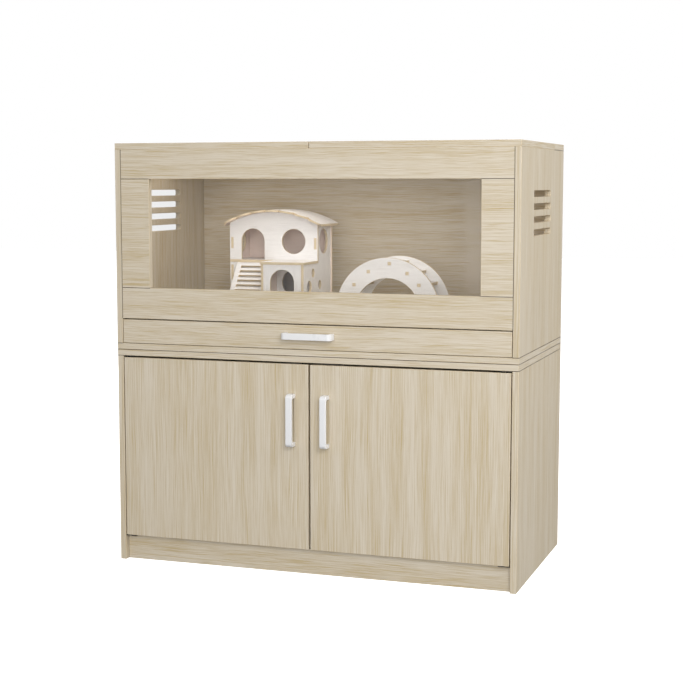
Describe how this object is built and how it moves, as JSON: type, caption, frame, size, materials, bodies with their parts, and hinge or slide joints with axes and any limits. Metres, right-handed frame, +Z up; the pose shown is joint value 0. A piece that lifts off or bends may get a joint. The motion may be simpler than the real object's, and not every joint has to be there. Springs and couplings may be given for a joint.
{
  "type": "hamster cage",
  "caption": "Wooden hamster cage with a clear front window, hinged lids and a tray drawer, on a two-door storage cabinet, with a play house and an arched bridge inside.",
  "frame": {"origin": "on the floor under the middle of the whole object's box, handles included", "axes": "+Z up, the doors, drawer and window face -Y, +X to the viewer's right when looking at the front"},
  "size_m": [0.8, 0.422, 0.8253],
  "materials": {
    "oak_board": "pale oak melamine, fine streaky grain, satin",
    "hardboard": "printed hardboard, satin",
    "handle_plastic": "white moulded plastic, soft gloss",
    "clip_plastic": "white moulded plastic, matt",
    "clear_pane": "clear acrylic sheet",
    "steel": "zinc-plated steel",
    "zinc": "die-cast zinc, matt",
    "dowel_wood": "bare beech",
    "white_ply": "white-stained plywood with bare tan edges"
  },
  "bodies": {
    "carcass": {"bottom_rail": "oak_board", "cabinet_back_panel": "hardboard", "cabinet_bottom_panel": "oak_board", "cabinet_left_side": "oak_board", "cabinet_right_side": "oak_board", "cabinet_top_panel": "oak_board", "cage_back_panel": "oak_board", "cage_bottom_panel": "oak_board", "cage_floor_panel": "oak_board", "cage_left_side": "oak_board", "cage_right_side": "oak_board", "cam_bolts": "steel", "cam_locks": "zinc", "door_catches": "clip_plastic", "door_pivots": "steel", "dowels": "dowel_wood", "fixed_screws": "steel", "left_stile": "oak_board", "lid_hinge_fixed_leaves": "steel", "lid_hinge_pins": "steel", "plinth": "oak_board", "rear_top_strip": "oak_board", "right_stile": "oak_board", "top_rail": "oak_board", "window_clips": "clip_plastic", "window_pane": "clear_pane"},
    "left_door": {"left_door": "oak_board", "left_door_handle": "handle_plastic", "left_door_handle_screws": "steel", "left_door_strike": "steel"},
    "right_door": {"right_door": "oak_board", "right_door_handle": "handle_plastic", "right_door_handle_screws": "steel", "right_door_strike": "steel"},
    "left_lid": {"left_lid": "oak_board", "left_lid_hinge_leaves": "steel", "left_lid_hinge_screws": "steel"},
    "right_lid": {"right_lid": "oak_board", "right_lid_hinge_leaves": "steel", "right_lid_hinge_screws": "steel"},
    "drawer": {"drawer_back": "oak_board", "drawer_bottom": "hardboard", "drawer_dowels": "dowel_wood", "drawer_front": "oak_board", "drawer_handle": "handle_plastic", "drawer_handle_screws": "steel", "drawer_left_side": "oak_board", "drawer_right_side": "oak_board"},
    "house": {"house_back_wall": "white_ply", "house_floor": "white_ply", "house_left_wall": "white_ply", "house_lower_front": "white_ply", "house_porch_front": "white_ply", "house_porch_side": "white_ply", "house_ramp": "white_ply", "house_right_wall": "white_ply", "house_roof": "white_ply", "house_upper_front": "white_ply"},
    "bridge": {"bridge_arches": "white_ply", "bridge_treads": "white_ply"}
  },
  "joints": [
    {"name": "drawer_slide", "type": "slide", "parent": "carcass", "child": "drawer", "axis": [0, -1, 0], "range_m": [0, 0.3]},
    {"name": "left_door_hinge", "type": "hinge", "parent": "carcass", "child": "left_door", "pos_m": [-0.378, -0.185, 0.2], "axis": [0, 0, -1], "range_deg": [0, 115]},
    {"name": "right_door_hinge", "type": "hinge", "parent": "carcass", "child": "right_door", "pos_m": [0.378, -0.185, 0.2], "axis": [0, 0, 1], "range_deg": [0, 115]},
    {"name": "left_lid_hinge", "type": "hinge", "parent": "carcass", "child": "left_lid", "pos_m": [-0.2, 0.1155, 0.8228], "axis": [-1, 0, 0], "range_deg": [0, 105]},
    {"name": "right_lid_hinge", "type": "hinge", "parent": "carcass", "child": "right_lid", "pos_m": [0.2, 0.1155, 0.8228], "axis": [-1, 0, 0], "range_deg": [0, 105]},
    {"name": "house_lift", "type": "slide", "parent": "carcass", "child": "house", "axis": [0, 0, 1], "range_m": [0, 0.1]},
    {"name": "bridge_lift", "type": "slide", "parent": "carcass", "child": "bridge", "axis": [0, 0, 1], "range_m": [0, 0.1]}
  ]
}
